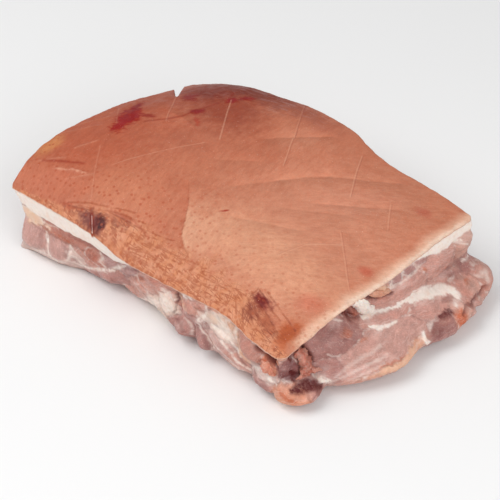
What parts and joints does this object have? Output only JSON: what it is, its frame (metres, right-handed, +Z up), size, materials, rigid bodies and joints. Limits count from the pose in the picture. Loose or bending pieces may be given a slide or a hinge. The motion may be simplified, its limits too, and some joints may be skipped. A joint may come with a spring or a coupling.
{
  "type": "pork ribeye roast",
  "caption": "Raw boneless pork ribeye roast: a slab of loin under a scored, domed rind with a fat edge, resting on its flat lean side.",
  "frame": {"origin": "middle of the object's box in plan, on the surface that it rests on", "axes": "+X along the long side towards the end where the lean stands out past the rind, +Y across the joint away from the long side with the thick fat edge, +Z up through the rind"},
  "size_m": [0.3144, 0.2103, 0.0825],
  "materials": {
    "rind": "raw pork rind, tan to salmon pink, slightly damp, with pores and score lines",
    "lean": "raw lean pork, mauve pink with darker muscles, moist, with white marbling",
    "fat": "raw back fat, cream white, moist"
  },
  "bodies": {
    "root": {"roast": "rind"}
  },
  "joints": []
}
